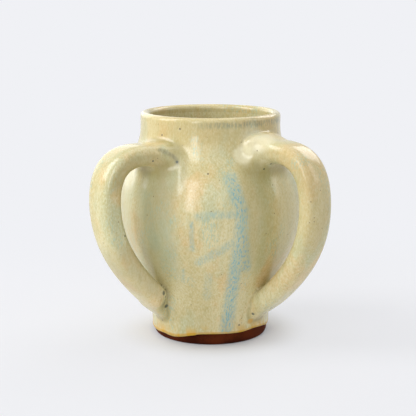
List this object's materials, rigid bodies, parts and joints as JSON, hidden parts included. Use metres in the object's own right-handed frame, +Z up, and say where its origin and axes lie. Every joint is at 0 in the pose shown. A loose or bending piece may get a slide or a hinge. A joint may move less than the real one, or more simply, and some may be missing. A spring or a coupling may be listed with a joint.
{
  "type": "hand washing cup",
  "caption": "Round-bellied glazed stoneware cup with a straight neck and a strap handle on either side of the front, for pouring water over the hands.",
  "frame": {"origin": "middle of the flat underside of the foot, on the cup's axis", "axes": "+Z up along the axis to the mouth; the two handles stand forward of the sides, towards -Y, one at -X and one at +X"},
  "size_m": [0.1312, 0.1134, 0.13],
  "materials": {
    "outer_glaze": "gloss",
    "inner_glaze": "gloss",
    "bare_clay": "matte",
    "slip": "matte"
  },
  "bodies": {
    "root": {"stoneware_pot": "bare_clay", "left_handle": "bare_clay", "right_handle": "bare_clay", "left_upper_slip_joint": "slip", "left_lower_slip_joint": "slip", "right_upper_slip_joint": "slip", "right_lower_slip_joint": "slip", "outer_glaze": "outer_glaze", "inner_glaze": "inner_glaze"}
  },
  "joints": []
}
